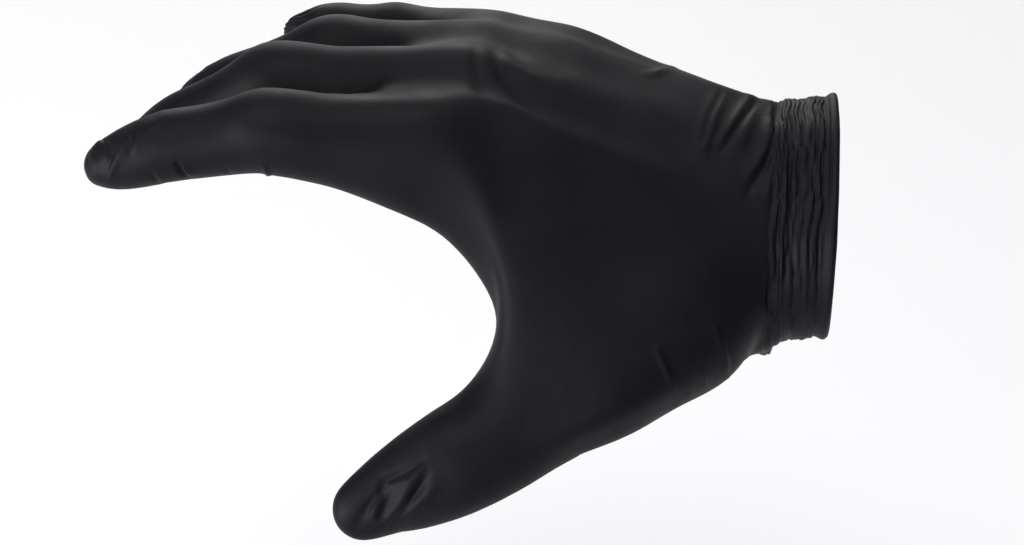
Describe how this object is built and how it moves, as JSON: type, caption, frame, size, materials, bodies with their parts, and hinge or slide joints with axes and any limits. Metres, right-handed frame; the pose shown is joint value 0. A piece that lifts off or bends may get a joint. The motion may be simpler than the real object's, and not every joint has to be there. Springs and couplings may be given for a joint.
{
  "type": "nitrile exam glove",
  "caption": "Thin black nitrile exam glove in its worn form, hollow, with spread fingers, a thumb set apart in a wide grip and a gathered cuff with a rolled bead.",
  "frame": {"origin": "middle of the cuff's mouth, where the wrist goes in", "axes": "+X out of the mouth towards the forearm, +Z towards the side of the hand's back, -Y towards the thumb's side, fingers towards -X"},
  "size_m": [0.1789, 0.1427, 0.0942],
  "materials": {
    "nitrile_film": "satin black nitrile film"
  },
  "bodies": {
    "root": {"glove": "nitrile_film"}
  },
  "joints": []
}
